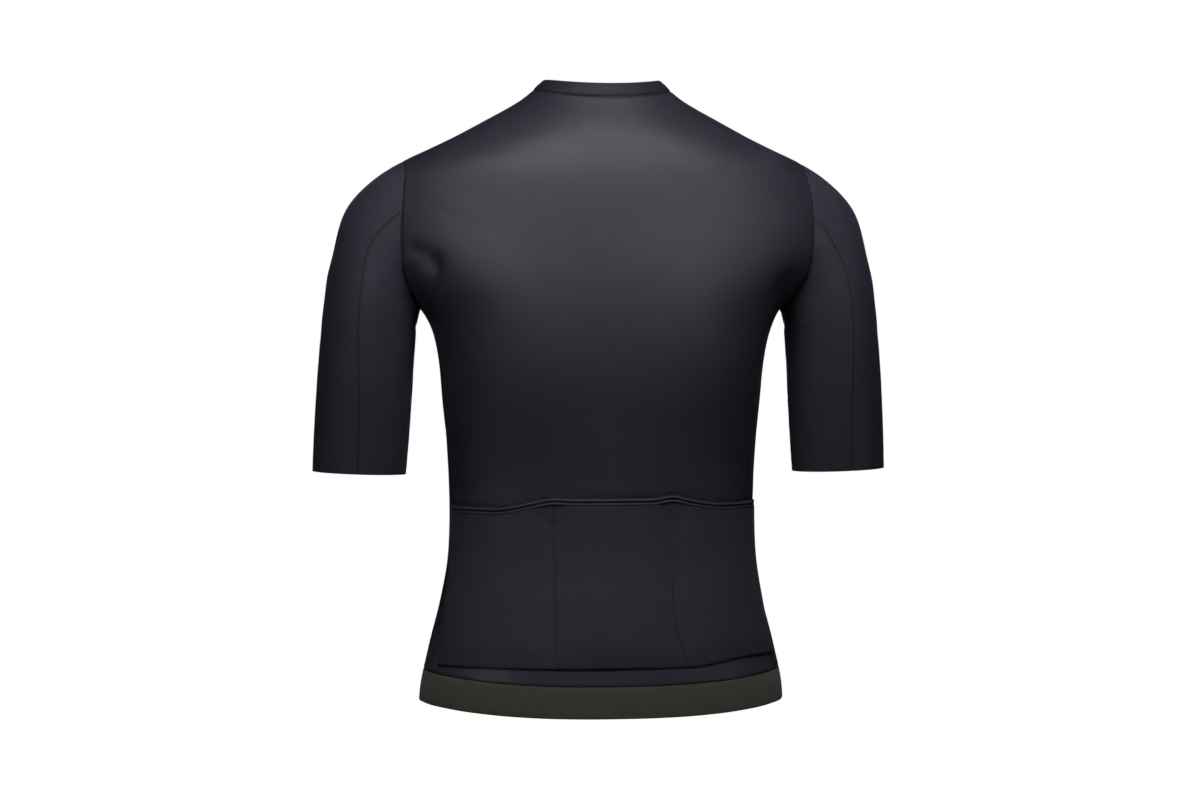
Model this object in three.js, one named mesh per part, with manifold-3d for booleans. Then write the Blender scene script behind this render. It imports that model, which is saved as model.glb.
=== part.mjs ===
// Short-sleeved cycling jersey in its worn form, with nobody in it.
// Millimetres, +Z up. The front faces -Y and the wearer's left is +X.
// The origin is the middle of the neck base, level with the high points of the shoulders.
import * as THREE from "three";
import { mergeVertices } from "three/addons/utils/BufferGeometryUtils.js";
import Module from "manifold-3d";

const wasm = await Module();
wasm.setup();

// Driving sizes
const wall = 1.2; // body and sleeve cloth
const seamGap = 0.3; // between pieces that are sewn together
const armholeGap = 0.6; // between the body panels and the sleeves
const depthRound = 2.05; // exponent of the sections across the depth
const shoulderTip = -75.5; // height of the armhole's top
const armpit = -231; // height of the armhole's bottom
const neckHalf = 73; // half width of the neck base
const neckFrontDrop = 75; // front neck point below the shoulder points
const neckBackDrop = 8; // back neck point below the shoulder points
const sideHem = -643; // bottom edge at the side seam
const hemBandHeight = 33;
const tailDrop = 9.5; // the back hem hangs this much lower than the side
const frontRise = 18; // the front hem is this much higher than the side
const collarRise = 14.2;
const sideSeamBack = 0.11; // the side seam lies this far behind the widest line, in radians
const sideSeamHem = 0.26; // below the waist it runs this much further to the back
const sideSeamWaist = -450; // level from which it does
const pocketBottom = -602;
const pocketTop = -427.5;
const pocketSideDrop = 13.5; // the pocket mouth is lower at the sides
const dividerPlace = 62; // each pocket divider from the centre back
const pocketSeat = 0.6; // between the back panel and the pockets that lie on it
const bindingHeight = 8;
const bindingWall = 2.2;
const zipOpening = 5; // each front edge from the centre line
const chainHalf = 2.2;
const tapeEdge = 14; // outer edge of each zip tape from the centre line
const tapeWall = 1;
const sleeveSeam = 72; // degrees from the sleeve's top line, at the armhole
const sleeveSeamCuff = 83; // the same at the cuff
const rightSeamBow = 8; // the right sleeve's back seam bows inwards by this below the armhole

// Mesh counts
const armholeSteps = 15;
const neckTurns = [80, 70, 60, 50, 40, 30, 20, 10, 5, 2, 0.3]; // degrees below the shoulder point
const bodySteps = 15;
const backColumns = 18;
const frontColumns = 9;
const sleeveRows = 12;

// Level sections of the body from the neck to the hem: half width, back and front depth, squareness
const sections = [
  { z: 6, half: 66, back: 54, front: -38, square: 2.0 },
  { z: 0, half: 73, back: 58, front: -42, square: 2.0 },
  { z: -10, half: 85.5, back: 64.5, front: -46, square: 2.05 },
  { z: -20, half: 102, back: 71, front: -50, square: 2.1 },
  { z: -30, half: 120.5, back: 77, front: -54, square: 2.12 },
  { z: -40, half: 139, back: 82.5, front: -58, square: 2.15 },
  { z: -50, half: 158, back: 87.5, front: -62, square: 2.2 },
  { z: -62, half: 183, back: 93, front: -66, square: 2.2 },
  { z: shoulderTip, half: 211, back: 98.5, front: -71, square: 2.2 },
  { z: -90, half: 230, back: 103.5, front: -79, square: 2.15 },
  { z: -110, half: 243.5, back: 108.5, front: -89, square: 2.1 },
  { z: -135, half: 249.5, back: 112.5, front: -99, square: 2.08 },
  { z: -165, half: 244.5, back: 114.5, front: -107, square: 2.1 },
  { z: -190, half: 231.5, back: 115, front: -111, square: 2.2 },
  { z: -210, half: 214, back: 114.5, front: -113, square: 2.35 },
  { z: armpit, half: 192, back: 113.5, front: -114, square: 2.6 },
  { z: -253, half: 179.7, back: 112, front: -114.5, square: 2.75 },
  { z: -285, half: 172.8, back: 109, front: -114, square: 2.75 },
  { z: -327, half: 169, back: 103, front: -112, square: 2.65 },
  { z: -370, half: 164.8, back: 96, front: -109, square: 2.55 },
  { z: -412, half: 162.4, back: 91, front: -106.5, square: 2.45 },
  { z: -455, half: 161.8, back: 89.5, front: -106, square: 2.4 },
  { z: -497, half: 164.2, back: 93, front: -107.5, square: 2.4 },
  { z: -540, half: 172.2, back: 102, front: -111, square: 2.4 },
  { z: -582, half: 182.9, back: 111.5, front: -115.5, square: 2.4 },
  { z: -624, half: 192, back: 118.5, front: -119, square: 2.4 },
  { z: -650, half: 194.5, back: 121, front: -121, square: 2.4 },
];

// Where the armhole seam cuts the body, as distance from the centre plane
const armhole = [
  { z: shoulderTip, back: 211, front: 211 },
  { z: -90, back: 213, front: 207 },
  { z: -110, back: 215.5, front: 202.5 },
  { z: -130, back: 217, front: 199.5 },
  { z: -155, back: 217.5, front: 198 },
  { z: -175, back: 216.5, front: 198 },
  { z: -195, back: 213, front: 198 },
  { z: -214, back: 204.5, front: 197 },
  { z: armpit, back: 192, front: 192 },
];

// Rings of the sleeve below the armhole: outer and inner points, half depth, forward lean, and how far
// the middle of the front and back is bowed outwards, as the armhole is
const sleeveRings = [
  { outerX: 266, outerZ: -119, innerX: 194.5, innerZ: -238, depth: 53, lean: 0, bow: 7 },
  { outerX: 285.5, outerZ: -177, innerX: 196.5, innerZ: -250, depth: 54, lean: 0, bow: 4 },
  { outerX: 295, outerZ: -232, innerX: 198.2, innerZ: -272, depth: 53, lean: 0, bow: 1.5 },
  { outerX: 300.5, outerZ: -295, innerX: 200.5, innerZ: -308, depth: 52, lean: -1, bow: 0 },
  { outerX: 304, outerZ: -350, innerX: 203.5, innerZ: -355, depth: 51, lean: -4, bow: 0 },
  { outerX: 306, outerZ: -400.5, innerX: 207.5, innerZ: -404, depth: 50, lean: -7, bow: 0 },
];

// Materials
const bodyCloth = { color: 0x1d1d22, roughness: 0.6 };
const sleeveCloth = { color: 0x1b1b20, roughness: 0.6 };
const pocketCloth = { color: 0x222226, roughness: 0.65 };
const elastic = { color: 0x2b2b27, roughness: 0.8 };
const zipTapeCloth = { color: 0x161618, roughness: 0.85 };
const zipPlastic = { color: 0x101012, roughness: 0.4 };
const zipMetal = { color: 0x2a2a2c, roughness: 0.35, metalness: 0.8 };

// Shared mathematics
const clamp = (value, low, high) => Math.min(high, Math.max(low, value));
const smooth = (value) => {
  const t = clamp(value, 0, 1);
  return t * t * (3 - 2 * t);
};
const mix = (a, b, t) => a + (b - a) * t;

// Smooth curve through one column of a table that runs downwards in z
function column(table, name) {
  const slope = table.map((row, i) => {
    const above = table[Math.max(0, i - 1)];
    const below = table[Math.min(table.length - 1, i + 1)];
    return (below[name] - above[name]) / (below.z - above.z);
  });
  return (z) => {
    let i = 0;
    while (i < table.length - 2 && table[i + 1].z > z) i += 1;
    const span = table[i + 1].z - table[i].z;
    const t = (z - table[i].z) / span;
    const t2 = t * t;
    const t3 = t2 * t;
    return (
      (2 * t3 - 3 * t2 + 1) * table[i][name] +
      (t3 - 2 * t2 + t) * span * slope[i] +
      (3 * t2 - 2 * t3) * table[i + 1][name] +
      (t3 - t2) * span * slope[i + 1]
    );
  };
}

const halfAt = column(sections, "half");
const backAt = column(sections, "back");
const frontAt = column(sections, "front");
const squareAt = column(sections, "square");
const armholeBackAt = column(armhole, "back");
const armholeFrontAt = column(armhole, "front");

// Point of the body at a level and an angle: 0 centre back, 90 degrees the side, 180 centre front
function bodyPoint(level, angle) {
  const side = Math.abs(angle);
  const across = Math.sin(side) ** (2 / squareAt(level));
  const along = Math.abs(Math.cos(side)) ** (2 / depthRound);
  const atBack = side < Math.PI / 2;
  const y = (atBack ? backAt(level) : frontAt(level)) * along;
  const middle = Math.cos(side) ** 2;
  const low = smooth((-level - 450) / 150);
  const high = smooth((level + 60) / 60);
  const hemShift = (atBack ? -tailDrop : frontRise) * low;
  const neckShift = atBack ? -neckBackDrop * high : 0;
  const z = level + (hemShift + neckShift) * middle;
  return new THREE.Vector3(Math.sign(angle) * halfAt(level) * across, y, z);
}

// Angle at which a level section reaches a distance from the centre plane
function angleAt(level, x) {
  const share = clamp(x / halfAt(level), 0, 1);
  return Math.asin(share ** (squareAt(level) / 2));
}

// Angle of the back panel's edge: side seam, armhole and shoulder seam
function backEdge(level) {
  if (level >= shoulderTip) return Math.PI / 2;
  if (level > armpit) return angleAt(level, armholeBackAt(level));
  const hemLean = sideSeamHem * smooth((sideSeamWaist - level) / 190);
  return Math.PI / 2 - sideSeamBack * smooth((armpit - level) / 200) - hemLean;
}

// The same for the front panels
function frontEdge(level) {
  if (level >= shoulderTip || level <= armpit) return backEdge(level);
  return Math.PI - angleAt(level, armholeFrontAt(level));
}

// Angle of a front panel's inner edge: the zip, then the front neckline
function frontInner(level) {
  const drop = clamp(-level / neckFrontDrop, 0, 1);
  const x = Math.max(zipOpening, neckHalf * Math.sqrt(1 - drop * drop));
  return Math.PI - angleAt(level, x);
}

// Levels of the body rows, from the hem band up to the neck
const seamLevel = sideHem + hemBandHeight;
function bodyLevels() {
  const levels = [];
  for (let i = 0; i < bodySteps; i += 1) {
    levels.push(mix(seamLevel + seamGap / 2, armpit, i / bodySteps));
  }
  const middle = (shoulderTip + armpit) / 2;
  const reach = (shoulderTip - armpit) / 2;
  for (let i = 0; i <= armholeSteps; i += 1) {
    levels.push(middle - reach * Math.cos((i * Math.PI) / armholeSteps));
  }
  for (const turn of neckTurns) {
    levels.push(-neckFrontDrop * Math.sin(THREE.MathUtils.degToRad(turn)));
  }
  return levels;
}

// Closed wall from a grid of outer points and a grid of inner points
function wallMesh(name, outer, inner, finish) {
  const rows = outer.length;
  const columns = outer[0].length;
  const points = [...outer.flat(), ...inner.flat()];
  const at = (sheet, row, col) => sheet * rows * columns + row * columns + col;
  const faces = [];
  const quad = (a, b, c, d) => faces.push([a, b, c], [a, c, d]);
  for (let r = 0; r < rows - 1; r += 1) {
    for (let c = 0; c < columns - 1; c += 1) {
      quad(at(0, r, c), at(0, r, c + 1), at(0, r + 1, c + 1), at(0, r + 1, c));
      quad(at(1, r, c), at(1, r + 1, c), at(1, r + 1, c + 1), at(1, r, c + 1));
    }
  }
  for (let c = 0; c < columns - 1; c += 1) {
    quad(at(0, 0, c), at(1, 0, c), at(1, 0, c + 1), at(0, 0, c + 1));
    const last = rows - 1;
    quad(at(0, last, c), at(0, last, c + 1), at(1, last, c + 1), at(1, last, c));
  }
  for (let r = 0; r < rows - 1; r += 1) {
    quad(at(0, r, 0), at(0, r + 1, 0), at(1, r + 1, 0), at(1, r, 0));
    const last = columns - 1;
    quad(at(0, r, last), at(1, r, last), at(1, r + 1, last), at(0, r + 1, last));
  }
  const volume = faces.reduce(
    (sum, [a, b, c]) => sum + points[a].dot(new THREE.Vector3().crossVectors(points[b], points[c])),
    0,
  );
  const turned = volume > 0 ? faces : faces.map(([a, b, c]) => [a, c, b]);
  const geometry = new THREE.BufferGeometry().setFromPoints(points);
  geometry.setIndex(turned.flat());
  return meshOf(name, geometry, finish);
}

function meshOf(name, geometry, finish) {
  geometry.computeVertexNormals();
  const mesh = new THREE.Mesh(geometry, new THREE.MeshStandardMaterial({ metalness: 0, ...finish }));
  mesh.name = name;
  return mesh;
}

// Outward normal of a surface at (u, v), from its neighbours
function normalAt(surface, u, v, sign) {
  const step = 0.004;
  const u0 = Math.max(0, u - step);
  const u1 = Math.min(1, u + step);
  const v0 = Math.max(0, v - step);
  const v1 = Math.min(1, v + step);
  const alongU = surface(u1, v).sub(surface(u0, v));
  const alongV = surface(u, v1).sub(surface(u, v0));
  return alongU.cross(alongV).normalize().multiplyScalar(sign);
}

// Cloth wall on a surface. lift moves its outer face out of the surface, thick is its wall.
// inside is a point that the middle of the piece faces away from.
function clothWall(name, surface, size, inside, finish, lift = 0, thick = wall) {
  const sample = normalAt(surface, 0.5, 0.5, 1);
  const sign = sample.dot(surface(0.5, 0.5).sub(inside)) > 0 ? 1 : -1;
  const outer = [];
  const inner = [];
  for (const v of evenSteps(size.v)) {
    const outerRow = [];
    const innerRow = [];
    for (const u of evenSteps(size.u)) {
      const point = surface(u, v);
      const normal = normalAt(surface, u, v, sign);
      outerRow.push(point.clone().addScaledVector(normal, lift));
      innerRow.push(point.clone().addScaledVector(normal, lift - thick));
    }
    outer.push(outerRow);
    inner.push(innerRow);
  }
  return wallMesh(name, outer, inner, finish);
}

// Even steps from 0 to 1, or the steps themselves where they are given
function evenSteps(count) {
  if (Array.isArray(count)) return count;
  return Array.from({ length: count + 1 }, (_, i) => i / count);
}

// A surface whose v runs through levels, so that every panel shares the same rows
function levelSurface(levels, pointAt) {
  const bottom = levels[0];
  const top = levels[levels.length - 1];
  const surface = (u, v) => pointAt(u, mix(bottom, top, v));
  const steps = levels.map((level) => (level - bottom) / (top - bottom));
  return { surface, steps };
}

// Part of an angle that leaves half a seam gap at a panel's edge
const edgeTrim = seamGap / 2 / 100;

function backPanel() {
  const levels = [...bodyLevels(), -0.01];
  const { surface, steps } = levelSurface(levels, (u, level) => {
    const edge = backEdge(level) - edgeTrim;
    return bodyPoint(level, mix(-edge, edge, u));
  });
  return clothWall("back", surface, { u: backColumns, v: steps }, axisPoint(-300), bodyCloth);
}

function frontPanel(side) {
  const levels = bodyLevels();
  const { surface, steps } = levelSurface(levels, (u, level) => {
    const outer = frontEdge(level) + edgeTrim;
    const angle = mix(frontInner(level), outer, u);
    return bodyPoint(level, side * angle);
  });
  const name = side > 0 ? "front_left" : "front_right";
  return clothWall(name, surface, { u: frontColumns, v: steps }, axisPoint(-300), bodyCloth);
}

function axisPoint(z) {
  return new THREE.Vector3(0, 0, z);
}

// Armhole seam point at an angle round the sleeve: 0 top, 90 back, 180 armpit, 270 front
function armholePoint(turn) {
  const middle = (shoulderTip + armpit) / 2;
  const reach = (shoulderTip - armpit) / 2;
  const level = middle + reach * Math.cos(turn);
  const atBack = Math.sin(turn) >= 0;
  if (atBack) return bodyPoint(level, angleAt(level, armholeBackAt(level)));
  return bodyPoint(level, Math.PI - angleAt(level, armholeFrontAt(level)));
}

function ringPoint(ring, turn) {
  const x = (ring.outerX + ring.innerX) / 2 + ((ring.outerX - ring.innerX) / 2) * Math.cos(turn);
  const z = (ring.outerZ + ring.innerZ) / 2 + ((ring.outerZ - ring.innerZ) / 2) * Math.cos(turn);
  const bow = ring.bow * Math.sin(turn) ** 2;
  return new THREE.Vector3(x + bow, ring.lean + ring.depth * Math.sin(turn), z);
}

// Sleeve point: a smooth curve down the sleeve through the rings, from just off the armhole seam
function sleevePoint(turn, along) {
  const stops = [armholePoint(turn), ...sleeveRings.map((ring) => ringPoint(ring, turn))];
  const last = stops.length - 1;
  const start = armholeGap / endSlope(stops[0], stops[1], stops[2]).length();
  const place = mix(start, last, clamp(along, 0, 1));
  const i = Math.min(last - 1, Math.floor(place));
  const t = place - i;
  const slopeAt = (k) => {
    if (k === 0) return endSlope(stops[0], stops[1], stops[2]);
    if (k === last) return endSlope(stops[last], stops[last - 1], stops[last - 2]).negate();
    return stops[k + 1].clone().sub(stops[k - 1]).multiplyScalar(0.5);
  };
  const t2 = t * t;
  const t3 = t2 * t;
  return new THREE.Vector3()
    .addScaledVector(stops[i], 2 * t3 - 3 * t2 + 1)
    .addScaledVector(slopeAt(i), t3 - 2 * t2 + t)
    .addScaledVector(stops[i + 1], 3 * t2 - 2 * t3)
    .addScaledVector(slopeAt(i + 1), t3 - t2);
}

// Slope at the first of three stops of a smooth curve
function endSlope(first, second, third) {
  return new THREE.Vector3()
    .addScaledVector(first, -1.5)
    .addScaledVector(second, 2)
    .addScaledVector(third, -0.5);
}

function sleevePanel(kind, side) {
  const whole = 360;
  const trim = 0.16; // degrees, half a seam gap
  const surface = (u, v) => {
    const seam = mix(sleeveSeam, sleeveSeamCuff, smooth((v - 0.4) / 0.6));
    const bow = side < 0 ? rightSeamBow * Math.exp(-(((v - 0.15) / 0.14) ** 2)) : 0;
    const from = kind === "outer" ? -seam + trim : seam + bow + trim;
    const to = kind === "outer" ? seam + bow - trim : whole - seam - trim;
    const point = sleevePoint(THREE.MathUtils.degToRad(mix(from, to, u)), v);
    point.x *= side;
    return point;
  };
  const columns = kind === "outer" ? 12 : 18;
  const name = `sleeve_${kind}_${side > 0 ? "left" : "right"}`;
  const inside = new THREE.Vector3(side * 248, 0, -300);
  return clothWall(name, surface, { u: columns, v: sleeveRows }, inside, sleeveCloth);
}

// Neck seam point: 0 centre back, 90 degrees the shoulder point, 180 centre front
function neckPoint(turn) {
  const side = Math.abs(turn);
  if (side <= Math.PI / 2) return bodyPoint(0, turn);
  const round = side - Math.PI / 2;
  const level = -neckFrontDrop * Math.sin(round);
  const angle = Math.PI - angleAt(level, neckHalf * Math.cos(round));
  return bodyPoint(level, Math.sign(turn) * angle);
}

// Collar point: height 0 at the neck seam, 1 at the top edge
function collarPoint(turn, height) {
  const base = neckPoint(turn);
  const sideShare = Math.sin(turn) ** 2;
  const inward = 6 + 6 * sideShare;
  const rise = collarRise - 2.7 * sideShare;
  const middle = new THREE.Vector3(0, -5, base.z);
  const towards = middle.sub(base).normalize();
  const belly = 0.9 * Math.sin(Math.PI * height);
  return base.addScaledVector(towards, inward * height - belly).add(axisPoint(rise * height));
}

// The collar shares the columns of the panels that it is sewn to
const collarEnd = Math.PI / 2 + Math.acos(zipOpening / neckHalf);
function collar() {
  const start = (seamGap + 0.05) / collarRise;
  const surface = (u, v) => {
    return collarPoint(mix(-collarEnd, collarEnd, u), mix(start, 1, v));
  };
  const half = [collarEnd];
  for (const turn of neckTurns) half.push(Math.PI / 2 + THREE.MathUtils.degToRad(turn));
  for (let i = 0; i <= backColumns / 2; i += 1) half.push(Math.PI / 2 - (i * Math.PI) / backColumns);
  const turns = [...half.map((turn) => -turn), ...half.slice(0, -1).reverse()];
  const columns = turns.map((turn) => (turn / collarEnd + 1) / 2);
  return clothWall("collar", surface, { u: columns, v: 2 }, axisPoint(0), bodyCloth);
}

// So does the hem band
const roundColumns = backColumns + 2 * frontColumns;

function hemBand() {
  const surface = (u, v) => {
    const level = mix(sideHem, seamLevel - seamGap / 2, v);
    const place = Math.abs(u - 0.5) * roundColumns;
    const half = backColumns / 2;
    const back = backEdge(level) * Math.min(1, place / half);
    const front = (frontInner(level) - backEdge(level)) * Math.max(0, (place - half) / frontColumns);
    return bodyPoint(level, Math.sign(u - 0.5) * (back + front));
  };
  const size = { u: roundColumns, v: 2 };
  return clothWall("hem_band", surface, size, axisPoint(-620), elastic);
}

// Level of the pocket mouth at an angle round the back
function pocketMouth(angle) {
  const x = Math.abs(bodyPoint(pocketTop, angle).x);
  return pocketTop - pocketSideDrop * smooth((x - dividerPlace) / 70);
}

function pocketFloor(angle) {
  return pocketBottom + tailDrop * Math.cos(angle) ** 2;
}

// The pockets lie on the back panel and share its columns
function pocketSheet(name, rows, low, high, thick, finish) {
  const surface = (u, v) => {
    const angle = mix(-Math.PI / 2, Math.PI / 2, u);
    const level = mix(low(angle), high(angle), v);
    const edge = backEdge(level) - edgeTrim;
    return bodyPoint(level, mix(-edge, edge, u));
  };
  const size = { u: backColumns, v: rows };
  return clothWall(name, surface, size, axisPoint(-500), finish, pocketSeat + thick, thick);
}

function pocketPanel() {
  const high = (angle) => pocketMouth(angle) - bindingHeight - seamGap;
  return pocketSheet("pocket_panel", 7, pocketFloor, high, wall, pocketCloth);
}

function pocketBinding() {
  const low = (angle) => pocketMouth(angle) - bindingHeight;
  return pocketSheet("pocket_binding", 1, low, pocketMouth, bindingWall, elastic);
}

// Zip path up the centre front: body, then collar, with v from 0 at the hem to 1 at the collar's top
const zipNeck = 0.96;
function zipPath(v) {
  if (v < zipNeck) return bodyPoint(mix(sideHem, -neckFrontDrop, v / zipNeck), Math.PI);
  return collarPoint(Math.PI, (v - zipNeck) / (1 - zipNeck));
}

function zipStrip(name, fromX, toX, lift, thick, finish, bottom = 0, top = 1) {
  const surface = (u, v) => {
    const point = zipPath(mix(bottom, top, v));
    point.x = mix(fromX, toX, u);
    return point;
  };
  return clothWall(name, surface, { u: 1, v: zipSteps(bottom, top) }, axisPoint(-300), finish, lift, thick);
}

// Steps of a strip between two places of the zip path, level with the rows of the front panels
function zipSteps(bottom, top) {
  const body = bodyLevels().filter((level) => level < -neckFrontDrop);
  const places = body.map((level) => (zipNeck * (level - sideHem)) / (-neckFrontDrop - sideHem));
  const inside = [...places, zipNeck].filter((place) => place > bottom + 0.002 && place < top - 0.002);
  return [bottom, ...inside, top].map((place) => (place - bottom) / (top - bottom));
}

const tapeLift = -wall - 0.85;
function zipTape(side) {
  const name = side > 0 ? "zip_tape_left" : "zip_tape_right";
  const inner = side * (chainHalf + seamGap);
  return zipStrip(name, inner, side * tapeEdge, tapeLift, tapeWall, zipTapeCloth);
}

// Slider and pull are built flat, x across, y out of the zip, z up along it, then set on the path
const sliderAt = 0.985;
const pin = { out: 4, radius: 0.8, hole: 1.15, eye: 2.1 };
function solid(geometry) {
  geometry.deleteAttribute("normal");
  geometry.deleteAttribute("uv");
  const merged = mergeVertices(geometry, 1e-4);
  const vertProperties = new Float32Array(merged.attributes.position.array);
  const triVerts = new Uint32Array(merged.index.array);
  return new wasm.Manifold(new wasm.Mesh({ numProp: 3, vertProperties, triVerts }));
}

function block(width, depth, height, x, y, z) {
  return solid(new THREE.BoxGeometry(width, depth, height).translate(x, y, z));
}

function rod(radius, length, x, y, z) {
  const geometry = new THREE.CylinderGeometry(radius, radius, length, 16);
  return solid(geometry.rotateZ(Math.PI / 2).translate(x, y, z));
}

function fromSolid(body) {
  const { vertProperties, triVerts } = body.getMesh();
  const geometry = new THREE.BufferGeometry();
  geometry.setAttribute("position", new THREE.BufferAttribute(Float32Array.from(vertProperties), 3));
  geometry.setIndex(Array.from(triVerts));
  return geometry;
}

// Flat frame of the slider: its height is +z, and -y is out of the zip
function onPath(mesh) {
  const here = zipPath(sliderAt);
  const up = zipPath(sliderAt + 0.005).sub(zipPath(sliderAt - 0.02)).normalize();
  mesh.position.copy(here);
  mesh.rotation.x = -Math.atan2(up.y, up.z);
  return mesh;
}

const sliderLength = 10;
function slider() {
  const frontPlate = block(8.4, 1.4, sliderLength, 0, -0.8, 0);
  const backPlate = block(8.4, 1.1, sliderLength, 0, 4.9, 0);
  const post = block(3, 5.8, 3, 0, 2.1, sliderLength / 2 - 1.5);
  let body = frontPlate.add(backPlate).add(post);
  for (const side of [-1, 1]) {
    body = body.add(block(1, 4.4, 4, side * 1.8, -3.4, 1.5));
  }
  body = body.add(rod(pin.radius, 3.2, 0, -pin.out, 1.5));
  return onPath(meshOf("zip_slider", fromSolid(body), zipMetal));
}

function pull() {
  const length = 25;
  const eye = rod(pin.eye, 2, 0, -pin.out, 1.5);
  const neck = block(2, 1.6, 5, 0, -pin.out, -1.8);
  const plate = block(6.4, 1.6, length, 0, -pin.out, -4 - length / 2);
  const hole = rod(pin.hole, 4, 0, -pin.out, 1.5);
  const body = eye.add(neck).add(plate).subtract(hole);
  return onPath(meshOf("zip_pull", fromSolid(body), zipMetal));
}

function zipBox() {
  const here = zipPath(0.004);
  const mesh = meshOf("zip_box", new THREE.BoxGeometry(4.2, 2.4, 7), zipPlastic);
  mesh.position.copy(here).add(new THREE.Vector3(0, 1.6, 0));
  return mesh;
}

const jersey = new THREE.Group();
jersey.add(backPanel());
for (const side of [1, -1]) {
  jersey.add(frontPanel(side));
  jersey.add(sleevePanel("outer", side));
  jersey.add(sleevePanel("under", side));
  jersey.add(zipTape(side));
}
jersey.add(collar());
jersey.add(hemBand());
jersey.add(pocketPanel());
jersey.add(pocketBinding());
jersey.add(zipStrip("zip_chain", -chainHalf, chainHalf, -0.4, 2.4, zipPlastic, 0.014, 0.975));
jersey.add(zipBox());
jersey.add(slider());
jersey.add(pull());

export default jersey;
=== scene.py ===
import math

import bmesh
import bpy
import numpy as np
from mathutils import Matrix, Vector


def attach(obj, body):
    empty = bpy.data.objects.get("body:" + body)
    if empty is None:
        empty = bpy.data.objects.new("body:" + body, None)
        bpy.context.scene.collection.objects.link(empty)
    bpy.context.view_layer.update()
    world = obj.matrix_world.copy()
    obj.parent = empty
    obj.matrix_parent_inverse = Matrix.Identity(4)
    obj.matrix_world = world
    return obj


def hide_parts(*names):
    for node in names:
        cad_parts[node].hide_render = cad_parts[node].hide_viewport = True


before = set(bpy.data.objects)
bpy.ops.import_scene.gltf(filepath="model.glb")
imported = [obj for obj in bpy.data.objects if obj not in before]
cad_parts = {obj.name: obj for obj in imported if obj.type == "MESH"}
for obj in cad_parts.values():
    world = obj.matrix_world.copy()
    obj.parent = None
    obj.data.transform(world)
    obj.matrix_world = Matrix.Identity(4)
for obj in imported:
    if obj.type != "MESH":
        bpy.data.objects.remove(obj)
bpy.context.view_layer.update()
print("frame loaded")

# Shapes are worked out in millimetres and made into metres where a mesh is built.
# The front faces -Y, the wearer's left is +X, and the origin is the middle of the neck base.
mm = 0.001
trunkInside = (0, 0, -300)  # a point inside the trunk, which its cloth faces away from

body = {
    "shoulderTip": -75.5,  # height of the armhole's top
    "armpit": -231.0,  # height of the armhole's bottom
    "neckHalf": 73.0,
    "neckFrontDrop": 75.0,
    "neckBackDrop": 8.0,
    "sideHem": -643.0,
    "hemBand": 33.0,
    "tailDrop": 9.5,  # the back hem hangs this much lower than the side
    "frontRise": 18.0,  # the front hem is this much higher than the side
    "depthRound": 2.05,  # exponent of the sections across the depth
    "sideSeamBack": 0.11,  # radians behind the widest line
    "sideSeamHem": 0.26,  # it runs this much further to the back below the waist
    "sideSeamWaist": -450.0,
    "zipOpening": 5.0,  # each front edge from the centre line
    "wall": 1.2,
}


# A table with named columns
def table(names, rows):
    return dict(zip(names.split(), np.array(rows, float).T))


sections = table("z half back front square", [
    (6, 66, 54, -38, 2.0),
    (0, 73, 58, -42, 2.0),
    (-10, 85.5, 64.5, -46, 2.05),
    (-20, 102, 71, -50, 2.1),
    (-30, 120.5, 77, -54, 2.12),
    (-40, 139, 82.5, -58, 2.15),
    (-50, 158, 87.5, -62, 2.2),
    (-62, 183, 93, -66, 2.2),
    (-75.5, 211, 98.5, -71, 2.2),
    (-90, 230, 103.5, -79, 2.15),
    (-110, 243.5, 108.5, -89, 2.1),
    (-135, 249.5, 112.5, -99, 2.08),
    (-165, 244.5, 114.5, -107, 2.1),
    (-190, 231.5, 115, -111, 2.2),
    (-210, 214, 114.5, -113, 2.35),
    (-231, 192, 113.5, -114, 2.6),
    (-253, 179.7, 112, -114.5, 2.75),
    (-285, 172.8, 109, -114, 2.75),
    (-327, 169, 103, -112, 2.65),
    (-370, 164.8, 96, -109, 2.55),
    (-412, 162.4, 91, -106.5, 2.45),
    (-455, 161.8, 89.5, -106, 2.4),
    (-497, 164.2, 93, -107.5, 2.4),
    (-540, 172.2, 102, -111, 2.4),
    (-582, 182.9, 111.5, -115.5, 2.4),
    (-624, 192, 118.5, -119, 2.4),
    (-650, 194.5, 121, -121, 2.4),
])

# Where the armhole seam cuts the body, as distance from the centre plane
armhole = table("z back front", [
    (-75.5, 211, 211),
    (-90, 213, 207),
    (-110, 215.5, 202.5),
    (-130, 217, 199.5),
    (-155, 217.5, 198),
    (-175, 216.5, 198),
    (-195, 213, 198),
    (-214, 204.5, 197),
    (-231, 192, 192),
])


def smooth(value):
    t = np.clip(value, 0, 1)
    return t * t * (3 - 2 * t)


def mix(a, b, t):
    return a + (b - a) * t


# 1 on a line and falling away softly: exp of minus the square of distance over width
def bell(distance, width):
    return np.exp(-((distance / width) ** 2))


# Steps from 0 to 1 that close up towards both ends: even ones in the middle, squared ones in each edge share
def closeSteps(count, edge=0.02, fine=5):
    near = edge * (np.arange(fine) / fine) ** 1.6
    return np.concatenate([near, np.linspace(edge, 1 - edge, count), 1 - near[::-1]])


# Cubic piece from a to b, with t from 0 to 1 and the slopes at both ends
def cubic(t, a, b, slopeA, slopeB):
    start = (2 * t**3 - 3 * t**2 + 1) * a + (t**3 - 2 * t**2 + t) * slopeA
    end = (3 * t**2 - 2 * t**3) * b + (t**3 - t**2) * slopeB
    return start + end


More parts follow.
